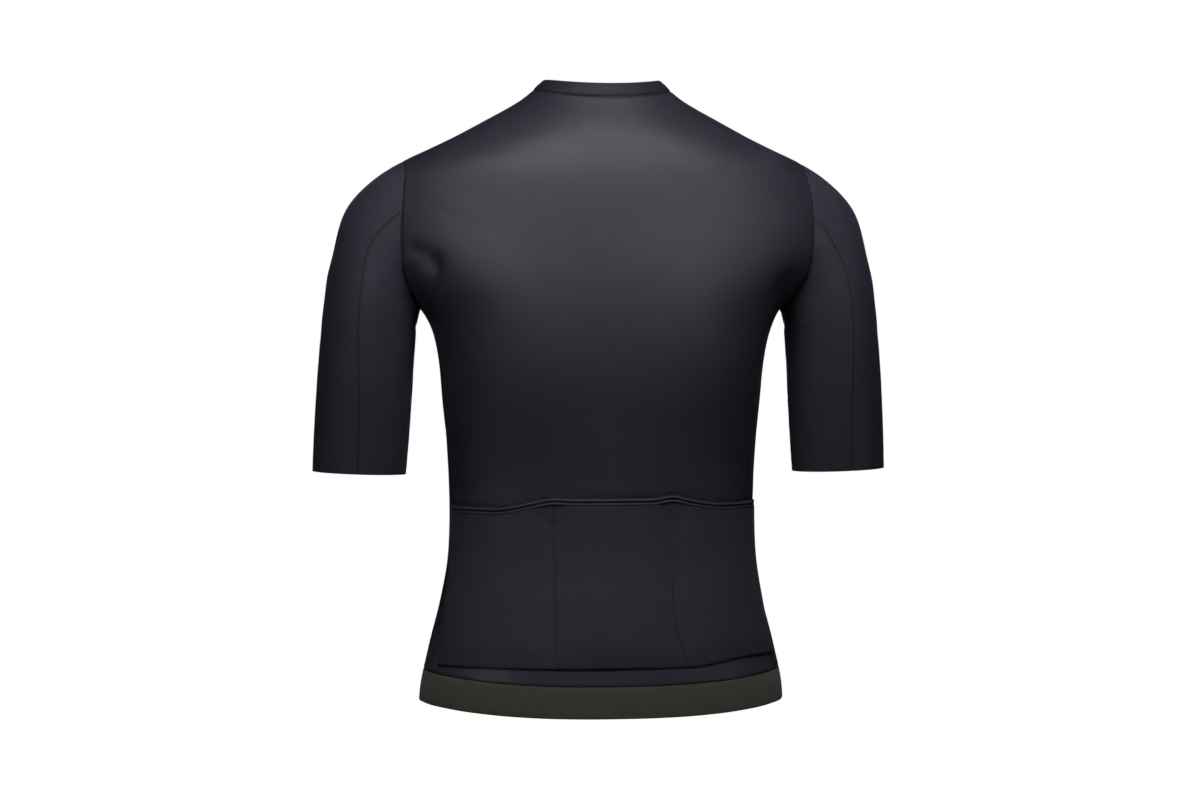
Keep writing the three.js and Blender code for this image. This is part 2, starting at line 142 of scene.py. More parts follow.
# Smooth curve through a column of a table that runs downwards: cubic pieces with the neighbours' mean slopes
def curveOf(rows, name):
    z, value = rows["z"], rows[name]
    above = np.r_[0, np.arange(len(z) - 1)]
    below = np.r_[np.arange(1, len(z)), len(z) - 1]
    slope = (value[below] - value[above]) / (z[below] - z[above])

    def at(level):
        i = np.clip(np.searchsorted(-z, -np.asarray(level, float), side="right") - 1, 0, len(z) - 2)
        span = z[i + 1] - z[i]
        return cubic((level - z[i]) / span, value[i], value[i + 1], span * slope[i], span * slope[i + 1])

    return at


halfAt, backAt, frontAt, squareAt = (curveOf(sections, name) for name in ("half", "back", "front", "square"))
armholeBackAt, armholeFrontAt = (curveOf(armhole, name) for name in ("back", "front"))


# Body point: an ellipse-like level section, with its hem and back neck bent down or up towards the middle.
# angle is 0 at the centre back, 90 degrees at the side and 180 at the centre front.
def bodyPoint(level, angle):
    level, angle = np.broadcast_arrays(np.asarray(level, float), np.asarray(angle, float))
    side = np.abs(angle)
    atBack = side < math.pi / 2
    across = np.clip(np.sin(side), 0, 1) ** (2 / squareAt(level))
    y = np.where(atBack, backAt(level), frontAt(level)) * np.abs(np.cos(side)) ** (2 / body["depthRound"])
    hemShift = np.where(atBack, -body["tailDrop"], body["frontRise"]) * smooth((-level - 450) / 150)
    neckShift = np.where(atBack, -body["neckBackDrop"], 0) * smooth((level + 60) / 60)
    z = level + (hemShift + neckShift) * np.cos(side) ** 2
    return np.stack([np.sign(angle) * halfAt(level) * across, y, z], axis=-1)


# An angle as even steps round the section, and back: the sine is raised to 2/square, or to square/2
def evenFrom(level, angle):
    turn = np.arcsin(np.clip(np.sin(angle), 0, 1) ** (2 / squareAt(level)))
    return np.where(angle > math.pi / 2, math.pi - turn, turn)


def evenTo(level, even):
    turn = np.arcsin(np.clip(np.sin(np.abs(even)), 0, 1) ** (squareAt(level) / 2))
    return np.sign(even) * np.where(np.abs(even) > math.pi / 2, math.pi - turn, turn)


# Angle at which a level section reaches a distance from the centre plane
def angleAt(level, x):
    return np.arcsin(np.clip(x / halfAt(level), 0, 1) ** (squareAt(level) / 2))


# Angle of the side seam, and of the armhole and shoulder above it
def backEdge(level):
    hemLean = body["sideSeamHem"] * smooth((body["sideSeamWaist"] - level) / 190)
    side = math.pi / 2 - body["sideSeamBack"] * smooth((body["armpit"] - level) / 200) - hemLean
    inArmhole = (level > body["armpit"]) & (level < body["shoulderTip"])
    return np.where(inArmhole, angleAt(level, armholeBackAt(level)), side)


def frontEdge(level):
    inArmhole = (level > body["armpit"]) & (level < body["shoulderTip"])
    return np.where(inArmhole, math.pi - angleAt(level, armholeFrontAt(level)), backEdge(level))


# Angle of a front panel's inner edge: the zip, then the quarter round of the front neckline
def frontInner(level):
    drop = np.clip(-level / body["neckFrontDrop"], 0, 1)
    x = np.maximum(body["zipOpening"], body["neckHalf"] * np.sqrt(1 - drop * drop))
    return math.pi - angleAt(level, x)


seamLevel = body["sideHem"] + body["hemBand"]
meshRows = {"trunk": 118, "armhole": 60, "neck": 46, "neckStart": 84.0, "evenShare": 0.12}


# Levels of the body rows, closer towards the hem seam, the armhole's ends and the neck
def bodyLevels(neckEnd):
    trunk = mix(seamLevel, body["armpit"], closeSteps(meshRows["trunk"], 0.012, 5))
    place = np.linspace(0, 1, meshRows["armhole"])
    close = mix((1 - np.cos(math.pi * place)) / 2, place, meshRows["evenShare"])
    sides = mix(body["armpit"], body["shoulderTip"], close)
    neckTurn = np.linspace(meshRows["neckStart"], neckEnd, meshRows["neck"])
    neck = -body["neckFrontDrop"] * np.sin(np.radians(neckTurn))
    return np.concatenate([trunk[:-1], sides, neck])


def unit(vectors):
    return vectors / np.maximum(np.linalg.norm(vectors, axis=-1, keepdims=True), 1e-9)


# Normals turned round where they face against the given ways
def facing(normal, ways):
    return normal * np.sign((normal * ways).sum(axis=-1, keepdims=True))


# Normals of a grid, across its rows times up its columns, and whether they face a point inside
def gridNormals(grid, inside):
    normal = unit(np.cross(np.gradient(grid, axis=1), np.gradient(grid, axis=0)))
    middle = grid.shape[0] // 2, grid.shape[1] // 2
    return normal, normal[middle] @ (grid[middle] - np.array(inside, float)) < 0


# A grid moved outwards by a relief, along its normals
def moved(grid, relief, inside=trunkInside):
    normal, inwards = gridNormals(grid, inside)
    return grid + (-normal if inwards else normal) * relief[..., None]


# Lengths along the cloth from the first column and from the first row
def lengthsOf(grid):
    across = np.linalg.norm(np.diff(grid, axis=1), axis=-1).cumsum(axis=1)
    along = np.linalg.norm(np.diff(grid, axis=0), axis=-1).cumsum(axis=0)
    return np.pad(across, ((0, 0), (1, 0))), np.pad(along, ((1, 0), (0, 0)))


# Distances from the four edges of a grid: its first and last column, its first and last row
def edgesOf(grid):
    across, along = lengthsOf(grid)
    return {"first": across, "last": across[:, -1:] - across, "low": along, "high": along[-1:] - along}


def nearest(edges, names):
    return np.minimum.reduce([edges[name] for name in names.split()])


# Soft folds: each row of the table adds its depth times a long bell along the fold and a short one across it
def foldRelief(folds, across, up):
    relief = np.zeros(np.broadcast(across, up).shape)
    for x, z, turn, length, width, depth in folds:
        c, s = math.cos(math.radians(turn)), math.sin(math.radians(turn))
        along = (across - x) * c + (up - z) * s
        aside = (up - z) * c - (across - x) * s
        relief += depth * bell(along, length) * bell(aside, width)
    return relief


hemLightBand = {"start": -556.0, "reach": 40.0}  # painted light: the body's cloth is drawn paler just above the hem, where it faces up into the light


# Painted seam shade, with painted light near the hem as negative values
def withPaintedHemLight(shade, z):
    pale = smooth((hemLightBand["start"] - z) / hemLightBand["reach"])
    return shade - pale * (1 - np.clip(3 * shade, 0, 1))


# Shade at the bottom of the deepest folds, where the cloth lies close to itself
def foldShade(folds):
    return 0.8 * smooth((-folds - 1.0) / 4.5)


# Mesh object from a grid of points in millimetres, as one sheet of quads with lengths as its UV map
def gridObject(name, grid, inside, seam=None, wrap=False):
    rows, columns = grid.shape[:2]
    index = np.arange(rows * columns).reshape(rows, columns)
    if wrap:
        index = np.concatenate([index, index[:, :1]], axis=1)
    corners = [index[:-1, :-1], index[:-1, 1:], index[1:, 1:], index[1:, :-1]]
    quads = np.stack(corners, axis=-1).reshape(-1, 4)
    if gridNormals(grid, inside)[1]:
        quads = quads[:, ::-1]
    mesh = bpy.data.meshes.new(name)
    mesh.from_pydata((grid * mm).reshape(-1, 3), [], quads)
    across, along = lengthsOf(grid)
    middleAcross = across - across[:, columns // 2, None]
    flat = np.stack([middleAcross, along - along[-1:]], axis=-1).reshape(-1, 2) * mm
    uv = mesh.uv_layers.new(name="cloth")
    uv.data.foreach_set("uv", flat[quads.ravel()].astype(np.float32).ravel())
    # The seam attribute holds painted shade in seams, grooves and folds, and painted light where it is negative
    attribute = mesh.attributes.new("seam", "FLOAT", "POINT")
    shade = np.zeros(rows * columns) if seam is None else np.broadcast_to(seam, (rows, columns)).ravel()
    attribute.data.foreach_set("value", shade.astype(np.float32))
    mesh.shade_smooth()
    return linked(name, mesh)


def linked(name, mesh):
    piece = bpy.data.objects.new(name, mesh)
    bpy.context.scene.collection.objects.link(piece)
    return piece


# Gives a sheet its wall, inwards from the surface
def solidify(piece, wall):
    thick = piece.modifiers.new("wall", "SOLIDIFY")
    thick.thickness = wall * mm
    thick.offset = -1
    thick.use_quality_normals = True
    return piece


# A finish is a material and the name of the slot that it stands for
def finishPiece(piece, finish, node=None, bodyName="jersey"):
    material, slotName = finish
    piece.data.materials.append(material)
    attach(piece, bodyName)
    if node:
        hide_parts(node)
    return piece


# A sewn cloth piece: grid, wall, finish and its cut, the longest way across and along and the grid's area
def clothPiece(name, grid, wall, finish, node, seam=None, inside=trunkInside):
    piece = solidify(gridObject(name, grid, inside, seam), wall)
    finishPiece(piece, finish, node)
    across, along = lengthsOf(grid)
    cell = np.cross(grid[1:, 1:] - grid[:-1, :-1], grid[1:, :-1] - grid[:-1, 1:])
    width, length = across.max() * mm, along.max() * mm
    area = np.linalg.norm(cell, axis=-1).sum() / 2 * mm**2
    area = min(area, width * length)
    print(f"cut of {name}: {width * 1000:.0f} x {length * 1000:.0f} mm, {area * 1e4:.0f} square cm")
    return piece


# Material maths: one wire of a node tree, whose sums and products add Math nodes
class Wire:
    def __init__(self, tree, socket):
        self.tree = tree
        self.socket = socket

    def maths(self, operation, first, second=0.0):
        node = self.tree.nodes.new("ShaderNodeMath")
        node.operation = operation
        for place, value in enumerate((first, second)):
            connect(self.tree, node.inputs[place], value)
        return Wire(self.tree, node.outputs[0])

    def __add__(self, other):
        return self.maths("ADD", self, other)

    def __radd__(self, other):
        return self.maths("ADD", other, self)

    def __sub__(self, other):
        return self.maths("SUBTRACT", self, other)

    def __rsub__(self, other):
        return self.maths("SUBTRACT", other, self)

    def __mul__(self, other):
        return self.maths("MULTIPLY", self, other)

    def __rmul__(self, other):
        return self.maths("MULTIPLY", other, self)

    def __pow__(self, other):
        return self.maths("POWER", self, other)

    def __abs__(self):
        return self.maths("ABSOLUTE", self)

    def fraction(self):
        return self.maths("FRACT", self)

    def cosine(self):
        return self.maths("COSINE", self)


def connect(tree, socket, value):
    if isinstance(value, Wire):
        tree.links.new(value.socket, socket)
    elif value is not None:
        socket.default_value = value


# A material whose nodes come from one method: type, settings, then the values or wires of its sockets
class Finish:
    def __init__(self, name):
        self.material = bpy.data.materials.new(name)
        self.material.use_nodes = True
        self.tree = self.material.node_tree
        self.shader = self.tree.nodes["Principled BSDF"]

    def node(self, kind, settings=None, inputs=None, out=0):
        node = self.tree.nodes.new(kind)
        for name, value in (settings or {}).items():
            setattr(node, name, value)
        for name, value in (inputs or {}).items():
            connect(self.tree, node.inputs[name], value)
        return Wire(self.tree, node.outputs[out])

    # Lengths along the cloth in millimetres
    def clothPlace(self):
        place = self.node("ShaderNodeUVMap", {"uv_map": "cloth"})
        x = self.node("ShaderNodeSeparateXYZ", None, {"Vector": place}, "X")
        y = self.node("ShaderNodeSeparateXYZ", None, {"Vector": place}, "Y")
        return x * (1 / mm), y * (1 / mm)

    def objectPlace(self):
        return self.node("ShaderNodeTexCoord", None, None, "Object")

    def noise(self, size, detail=2.0, place=None):
        where = self.objectPlace() if place is None else place
        return self.node("ShaderNodeTexNoise", None, {"Vector": where, "Scale": 1 / (size * mm), "Detail": detail})

    # Painted shade and painted light, from the seam attribute
    def seam(self):
        return self.node("ShaderNodeAttribute", {"attribute_name": "seam"}, None, "Fac")

    # Colour between two, by a share from 0 to 1
    def blend(self, share, first, second):
        node = self.tree.nodes.new("ShaderNodeMix")
        node.data_type = "RGBA"
        connect(self.tree, node.inputs[0], share)
        connect(self.tree, node.inputs[6], first)
        connect(self.tree, node.inputs[7], second)
        return Wire(self.tree, node.outputs[2])

    def bump(self, height, distance, strength):
        return self.node("ShaderNodeBump", None, {"Height": height, "Distance": distance * mm, "Strength": strength})

    def finish(self, **sockets):
        for name, value in sockets.items():
            connect(self.tree, self.shader.inputs[name.replace("_", " ")], value)
        return self.material


def colour(red, green, blue):
    return (red, green, blue, 1.0)


# Stretch knit: columns of small V stitches, two slanting legs in each column, over faint uneven dyeing
def knit(name, look):
    cloth = Finish(name)
    across, along = cloth.clothPlace()
    column = abs((across * (1 / look["wale"])).fraction() - 0.5) * 2
    leg = (((along * (1 / look["course"])) - column * 0.5) * (2 * math.pi)).cosine() * 0.5 + 0.5
    rib = 1 - (column * 2 - 1) ** 2
    stitch = rib * (leg * 0.45 + 0.55)
    dye = cloth.noise(look["patch"], 3.0)
    fuzz = cloth.noise(look["fuzz"], 1.0)
    seam = cloth.seam()
    share = dye * 0.55 + fuzz * 0.3 + stitch * 0.15
    tone = cloth.blend(share, look["dark"], look["light"])
    # Painted light near the hem where the seam attribute is negative, then painted shade in seams, grooves and folds
    # where it is positive
    paintedHemLight = cloth.blend(seam * -1, tone, look["paintedHemLight"])
    shaded = cloth.blend(seam, paintedHemLight, look["seam"])
    roughness = look["roughness"] + (fuzz - 0.5) * 0.12 + seam * 0.15
    relief = stitch * look["stitchDepth"] + fuzz * 0.25
    return cloth.finish(
        Base_Color=shaded, Roughness=roughness, Normal=cloth.bump(relief, look["bump"], 0.6),
        IOR=look["gloss"], Sheen_Weight=look["sheen"], Sheen_Roughness=0.5, Sheen_Tint=look["sheenTint"],
    )


bodyLook = {
    "wale": 0.7, "course": 0.52, "patch": 26.0, "fuzz": 1.1, "stitchDepth": 0.6, "bump": 0.05,
    "dark": colour(0.0132, 0.0133, 0.0205), "light": colour(0.021, 0.021, 0.031),
    # The seam colour is painted shade in seams, grooves and folds; the colour after it is painted light, the paler
    # tone just above the hem
    "seam": colour(0.004, 0.004, 0.0055), "paintedHemLight": colour(0.034, 0.034, 0.046),
    "roughness": 0.52, "gloss": 1.36, "sheen": 0.0, "sheenTint": colour(0.7, 0.72, 0.85),
}
sleeveLook = {
    **bodyLook, "wale": 0.62, "course": 0.48, "patch": 18.0,
    "dark": colour(0.0172, 0.0177, 0.0275), "light": colour(0.0265, 0.027, 0.0405),
    "roughness": 0.62, "gloss": 1.32, "sheen": 0.03,
}
pocketLook = {
    **bodyLook, "patch": 14.0,
    "dark": colour(0.0166, 0.0169, 0.0248), "light": colour(0.0246, 0.0248, 0.0348),
    "roughness": 0.64, "gloss": 1.34, "sheen": 0.06,
}
# The collar is the body cloth drawn darker and warmer: its own warmer tone, and painted shade that holds down the
# highlight it catches
collarLook = {
    **bodyLook, "dark": colour(0.0102, 0.0095, 0.0135), "light": colour(0.0155, 0.0148, 0.02),
    "roughness": 0.64, "gloss": 1.3,
}
bodyCloth = knit("body_knit", bodyLook), "body_cloth"
collarCloth = knit("collar_knit", collarLook), "body_cloth"
sleeveCloth = knit("sleeve_knit", sleeveLook), "sleeve_cloth"
pocketCloth = knit("pocket_knit", pocketLook), "pocket_cloth"


# Wide elastic: fine ribs that run round the hem, crossed by finer ones, matt and warmer than the knit
def elasticBand(look):
    band = Finish("hem_elastic")
    across, along = band.clothPlace()
    rib = (along * (2 * math.pi / look["rib"])).cosine() * 0.5 + 0.5
    cross = (across * (2 * math.pi / look["cross"])).cosine() * 0.5 + 0.5
    fuzz = band.noise(look["fuzz"], 2.0)
    patch = band.noise(look["patch"], 3.0)
    weave = rib * 0.6 + cross * 0.4
    tone = band.blend(patch * 0.5 + fuzz * 0.3 + weave * 0.2, look["dark"], look["light"])
    # Painted shade along the hem seam, from the seam attribute
    shaded = band.blend(band.seam(), tone, look["seam"])
    relief = weave * 0.8 + fuzz * 0.3
    return band.finish(
        Base_Color=shaded, Roughness=look["roughness"] + (fuzz - 0.5) * 0.1, IOR=look["gloss"],
        Normal=band.bump(relief, look["bump"], 0.7), Sheen_Weight=look["sheen"], Sheen_Roughness=0.6,
    )


elasticLook = {
    "rib": 1.05, "cross": 0.6, "fuzz": 1.2, "patch": 20.0, "bump": 0.12,
    "dark": colour(0.0465, 0.0452, 0.0342), "light": colour(0.07, 0.0689, 0.0527),
    # The seam colour is painted shade along the hem seam
    "seam": colour(0.006, 0.006, 0.005), "roughness": 0.85, "gloss": 1.3, "sheen": 0.1,
}
hemElastic = elasticBand(elasticLook), "hem_elastic"


# Sewing thread: a soft black twist
def threadFinish():
    thread = Finish("sewing_thread")
    twist = thread.noise(0.5, 1.0)
    tone = thread.blend(twist, colour(0.012, 0.012, 0.015), colour(0.04, 0.04, 0.048))
    return thread.finish(Base_Color=tone, Roughness=0.5 + twist * 0.2, Normal=thread.bump(twist, 0.05, 0.5))


# Woven zip tape: herringbone, whose slant turns round at each narrow column
def tapeFinish():
    tape = Finish("zip_tape_weave")
    across, along = tape.clothPlace()
    zigzag = abs((across * (1 / 3.0)).fraction() - 0.5) * 2
    twill = ((along * (1 / 0.8) + zigzag * 1.6) * (2 * math.pi)).cosine() * 0.5 + 0.5
    fuzz = tape.noise(0.9, 1.0)
    tone = tape.blend(twill * 0.6 + fuzz * 0.4, colour(0.008, 0.008, 0.009), colour(0.022, 0.022, 0.025))
    return tape.finish(Base_Color=tone, Roughness=0.8 + (fuzz - 0.5) * 0.1, Normal=tape.bump(twill, 0.12, 0.7))


# Nylon and lacquered metal: fine grain in gloss and bump, and wide wear between two colours
def hardFinish(name, look):
    hard = Finish(name)
    grain = hard.noise(look["grain"], 2.0)
    wear = hard.noise(look["wear"], look["wearDetail"])
    return hard.finish(
        Base_Color=hard.blend(wear, look["dark"], look["light"]), Metallic=look["metallic"],
        Roughness=look["roughness"] + grain * look["uneven"], Normal=hard.bump(grain, look["bump"], 0.4),
    )


nylonLook = {
    "grain": 0.6, "wear": 9.0, "wearDetail": 2.0, "roughness": 0.56, "uneven": 0.16, "metallic": 0.0, "bump": 0.02,
    "dark": colour(0.009, 0.009, 0.01), "light": colour(0.02, 0.02, 0.022),
}
metalLook = {
    "grain": 0.4, "wear": 4.0, "wearDetail": 3.0, "roughness": 0.4, "uneven": 0.15, "metallic": 0.75, "bump": 0.015,
    "dark": colour(0.014, 0.014, 0.015), "light": colour(0.045, 0.045, 0.048),
}
sewingThread = threadFinish()
tapeCloth = tapeFinish(), "zip_tape"
zipNylon = hardFinish("zip_nylon", nylonLook), "zip_plastic"
zipMetal = hardFinish("zip_lacquered_metal", metalLook), "zip_metal"
print("materials made")

seamForm = {"depth": 0.55, "width": 1.1, "shadeWidth": 0.8, "shade": 0.8}
collarSeam = {"depth": 0.4, "width": 0.9, "shadeWidth": 0.6, "shade": 0.55}
seamTrim = 0.0015  # radians off each panel's sewn edge, so that two edges lie side by side


# Groove that a sewn edge makes in the cloth, and the shade in it
def sewnEdge(distance, form=seamForm):
    return -form["depth"] * bell(distance, form["width"]), form["shade"] * bell(distance, form["shadeWidth"])


# Back panel: body points from armhole to armhole, moved along their normals by seams and soft folds
backForm = {
    "columns": 140,
    "breath": 0.3,
    "mouthShade": 1.3,  # width of the painted shadow along the pocket mouth
    # x, z, turn, length, width and depth of each fold, seen from the back with x to the wearer's left
    "folds": [
        (186, -181, 78, 12, 8.5, -4.8),
        (182, -203, 97, 22, 6.0, -3.6),
        (203, -169, 20, 8, 5.5, -3.2),
        (207, -205, 58, 14, 5.0, -2.6),
        (150, -236, 60, 40, 16, -1.0),
        (-186, -209, 112, 24, 16, -6.5),
        (-192, -197, 160, 16, 9.0, -2.0),
        (-150, -238, 122, 38, 16, -1.0),
        (-120, -290, 128, 60, 22, 0.9),
        (118, -300, 54, 62, 22, 0.8),
        (0, -250, 90, 130, 16, -0.9),
        (-60, -352, 12, 70, 12, -0.45),
        (52, -378, -10, 60, 11, 0.45),
        (-146, -398, 20, 40, 9, -0.7),
        (140, -420, -16, 46, 10, -0.6),
        (150, -560, 70, 40, 9, 0.5),
    ],
}


def backPanel():
    levels = bodyLevels(0.0)[:, None]
    edge = evenFrom(levels, backEdge(levels) - seamTrim)
    place = closeSteps(backForm["columns"], 0.012, 4)[None, :] * 2 - 1
    grid = bodyPoint(levels, evenTo(levels, place * edge))
    edges = edgesOf(grid)
    groove, shade = sewnEdge(nearest(edges, "first last low high"))
    x, z = grid[..., 0], grid[..., 2]
    folds = foldRelief(backForm["folds"], x, z)
    folds += backForm["breath"] * np.sin(x / 31 + 0.7) * np.sin(z / 43 + 0.4)
    relief = groove + folds * smooth(nearest(edges, "first last low") / 10)
    # Painted shadow under the pocket mouth, over a shallow dent, joined with the painted shade in seams and folds
    mouth = bell(z - pocketMouth(x) - 1.2, backForm["mouthShade"])
    shade = np.maximum(np.maximum(shade, foldShade(folds)), 0.8 * mouth)
    relief -= 0.5 * mouth
    grid = moved(grid, relief)
    return clothPiece("back_cloth", grid, body["wall"], bodyCloth, "back", withPaintedHemLight(shade, z))


# Front panel: body points from the zip or neckline to the side seam or armhole
frontForm = {
    "columns": 64,
    "folds": [
        (172, -184, 108, 26, 9, -2.8),
        (158, -216, 60, 34, 14, -1.5),
        (112, -262, 48, 52, 20, 0.9),
        (60, -150, 40, 50, 18, -0.7),
        (34, -250, 100, 60, 12, -0.6),
        (120, -372, 14, 46, 12, -0.8),
        (64, -452, -12, 40, 11, 0.6),
        (100, -520, 24, 42, 12, -0.6),
        (30, -560, 80, 40, 9, 0.5),
    ],
    "otherSide": {"depth": 0.82, "drop": 11.0},  # the right front's folds are shallower and a little lower
}


def frontPanel(side):
    name = "left" if side > 0 else "right"
    levels = bodyLevels(0.3)[:, None]
    inner = evenFrom(levels, frontInner(levels))
    outer = evenFrom(levels, frontEdge(levels) + seamTrim)
    even = mix(inner, outer, closeSteps(frontForm["columns"], 0.02, 4)[None, :])
    grid = bodyPoint(levels, side * evenTo(levels, even))
    edges = edgesOf(grid)
    groove, shade = sewnEdge(nearest(edges, "last low"))
    neckShare = smooth((grid[..., 2] + body["neckFrontDrop"] + 3) / 3)
    neckGroove, neckShade = sewnEdge(edges["first"])
    x, z = side * grid[..., 0], grid[..., 2]
    other = frontForm["otherSide"] if side < 0 else {"depth": 1.0, "drop": 0.0}
    folds = other["depth"] * foldRelief(frontForm["folds"], x, z + other["drop"])
    relief = groove + neckGroove * neckShare + folds * smooth(nearest(edges, "first last low") / 14)
    grid = moved(grid, relief)
    shade = withPaintedHemLight(np.maximum(shade, neckShade * neckShare), z)
    return clothPiece(f"front_cloth_{name}", grid, body["wall"], bodyCloth, f"front_{name}", shade)


# Sleeve: a smooth curve from each point of the armhole through the rings down to the cuff
sleeveForm = {
    "rows": 92,
    "outerColumns": 56,
    "underColumns": 68,
    "seamTop": 72.0,  # degrees from the sleeve's top line, at the armhole
    "seamCuff": 83.0,
    "rightBow": 8.0,  # the right sleeve's back seam bows inwards by this below the armhole
    "axisX": 248.0,
    "folds": {
        "outer": [
            (-22, -70, 64, 34, 10, -0.9),
            (26, -52, 118, 30, 9, -0.7),
            (4, -150, 20, 46, 12, 0.6),
            (-30, -205, -18, 40, 10, -0.5),
            (30, -236, 30, 34, 9, 0.5),
        ],
        "under": [
            (-58, -24, 40, 20, 5, -1.1),
            (-46, -36, 30, 18, 4, 0.9),
            (60, -22, -42, 22, 5, -1.0),
            (48, -40, -30, 20, 5, 0.8),
            (0, -20, 4, 30, 5, -0.9),
            (-30, -96, 60, 40, 10, -0.7),
            (34, -128, -50, 44, 11, 0.6),
        ],
    },
}
sleeveRings = table("outerX outerZ innerX innerZ depth lean bow", [
    (266, -119, 194.5, -238, 53, 0, 7),
    (285.5, -177, 196.5, -250, 54, 0, 4),
    (295, -232, 198.2, -272, 53, 0, 1.5),
    (300.5, -295, 200.5, -308, 52, -1, 0),
    (304, -350, 203.5, -355, 51, -4, 0),
    (306, -400.5, 207.5, -404, 50, -7, 0),
])


# Armhole seam point at an angle round the sleeve: 0 top, 90 back, 180 armpit, 270 front
def armholePoint(turn):
    reach = (body["shoulderTip"] - body["armpit"]) / 2
    level = body["armpit"] + reach * (1 + np.cos(turn))
    atBack = np.sin(turn) >= 0
    angle = np.where(
        atBack, angleAt(level, armholeBackAt(level)), math.pi - angleAt(level, armholeFrontAt(level))
    )
    return bodyPoint(level, angle)


def sleevePoint(turn, along):
    turn, along = np.broadcast_arrays(turn, along)
    stops = [armholePoint(turn)]
    for outerX, outerZ, innerX, innerZ, depth, lean, bow in zip(*sleeveRings.values()):
        x = (outerX + innerX) / 2 + (outerX - innerX) / 2 * np.cos(turn) + bow * np.sin(turn) ** 2
        z = (outerZ + innerZ) / 2 + (outerZ - innerZ) / 2 * np.cos(turn)
        stops.append(np.stack([x, lean + depth * np.sin(turn), z], axis=-1))
    stops = np.stack(stops)
    slopes = np.empty_like(stops)
    slopes[1:-1] = (stops[2:] - stops[:-2]) / 2
    slopes[0] = -1.5 * stops[0] + 2 * stops[1] - 0.5 * stops[2]
    slopes[-1] = 1.5 * stops[-1] - 2 * stops[-2] + 0.5 * stops[-3]
    place = along * (len(stops) - 1)
    i = np.minimum(place.astype(int), len(stops) - 2)
    t = (place - i)[..., None]
    at = tuple(np.indices(turn.shape))
    low, high = (i, *at), (i + 1, *at)
    return cubic(t, stops[low], stops[high], slopes[low], slopes[high])


# Turn of the sleeve's back or front seam
def sleeveSeam(along, side, atBack):
    seam = mix(sleeveForm["seamTop"], sleeveForm["seamCuff"], smooth((along - 0.4) / 0.6))
    bow = sleeveForm["rightBow"] * bell(along - 0.15, 0.14) if atBack and side < 0 else 0.0
    return seam + bow


def sleevePanel(kind, side):
    name = "left" if side > 0 else "right"
    along = closeSteps(sleeveForm["rows"], 0.015, 5)[:, None]
    backSeam, frontSeam = sleeveSeam(along, side, True), sleeveSeam(along, side, False)
    start, end = (-frontSeam, backSeam) if kind == "outer" else (backSeam, 360 - frontSeam)
    place = closeSteps(sleeveForm[f"{kind}Columns"], 0.03, 4)[None, :]
    grid = sleevePoint(np.radians(mix(start, end, place)), along) * np.array([side, 1, 1])
    edges = edgesOf(grid)
    groove, shade = sewnEdge(nearest(edges, "first last low"))
    across, down = lengthsOf(grid)
    middle = across - across[:, across.shape[1] // 2, None]
    relief = groove + foldRelief(sleeveForm["folds"][kind], middle * side, -down) * smooth(edges["low"] / 10)
    inside = (side * sleeveForm["axisX"], 0, -300)
    grid = moved(grid, relief, inside)
    piece = f"sleeve_{kind}_{name}"
    return clothPiece(f"{piece}_cloth", grid, body["wall"], sleeveCloth, piece, shade, inside)


# Neck seam point: 0 centre back, 90 degrees the shoulder point, 180 centre front
def neckPoint(turn):
    side = np.abs(turn)
    turned = np.maximum(side - math.pi / 2, 0)
    level = -body["neckFrontDrop"] * np.sin(turned)
    front = math.pi - angleAt(level, body["neckHalf"] * np.cos(turned))
    return bodyPoint(level, np.sign(turn) * np.where(side > math.pi / 2, front, side))


# Collar: from the neck seam it rises and leans in towards the neck, with a slight belly between its two edges
collarForm = {
    "rise": 14.2, "sideFall": 2.7, "inward": 6.0, "sideInward": 6.0, "belly": 0.9, "axisY": -5.0,
    "columns": 200, "rows": 10, "wall": 1.6, "rollOver": 0.5,
}


def collarPoint(turn, height):
    base = neckPoint(turn)
    sideShare = np.sin(turn) ** 2
    inward = collarForm["inward"] + collarForm["sideInward"] * sideShare
    rise = collarForm["rise"] - collarForm["sideFall"] * sideShare
    towards = unit(np.array([0, collarForm["axisY"], 0]) - base * [1, 1, 0])
    lean = inward * height - collarForm["belly"] * np.sin(math.pi * height)
    return base + towards * lean[..., None] + np.stack([0 * rise, 0 * rise, rise * height], axis=-1)


collarEnd = math.pi / 2 + math.acos(body["zipOpening"] / body["neckHalf"])


def collar():
    turn = mix(-collarEnd, collarEnd, closeSteps(collarForm["columns"], 0.006, 3))[None, :]
    height = closeSteps(collarForm["rows"], 0.12, 4)[:, None]
    turn, height = np.broadcast_arrays(turn, height)
    grid = collarPoint(turn, height)
    edges = edgesOf(grid)
    groove, shade = sewnEdge(edges["low"], collarSeam)
    fold = -collarForm["rollOver"] * bell(edges["high"], 0.9) - 0.25 * bell(edges["high"] - 5.2, 0.7)
    inside = (0, collarForm["axisY"], 0)
    grid = moved(grid, groove + fold, inside)
    return clothPiece("collar_cloth", grid, collarForm["wall"], collarCloth, "collar", shade, inside)


# Hem band: body points from the left zip edge round the back to the right one
hemForm = {
    "columns": 380, "rows": 12, "wall": 1.4, "proud": 0.15,
    "wave": 0.35, "waveLength": 47.0,  # the free edge is never quite even
}


# The whole way round as an angle: place -1 is the right zip edge, 0 the centre back and 1 the left zip edge
def roundBody(level, place):
    inner = evenFrom(level, frontInner(level))
    return evenTo(level, inner * place)


def hemBand():
    place = mix(-1, 1, closeSteps(hemForm["columns"], 0.003, 3))[None, :]
    share = closeSteps(hemForm["rows"], 0.06, 4)[:, None]
    level = mix(body["sideHem"], seamLevel, share)
    grid = bodyPoint(level, roundBody(level, place))
    edges = edgesOf(grid)
    groove, shade = sewnEdge(edges["high"])
    across = edges["first"]
    wave = hemForm["wave"] * np.sin(across / hemForm["waveLength"] * 2 * math.pi) * (1 - share)
    edgeRoll = -0.4 * bell(edges["low"], 0.8)
    grid = moved(grid, groove + wave + edgeRoll + hemForm["proud"])
    return clothPiece("hem_elastic_band", grid, hemForm["wall"], hemElastic, "hem_band", shade)


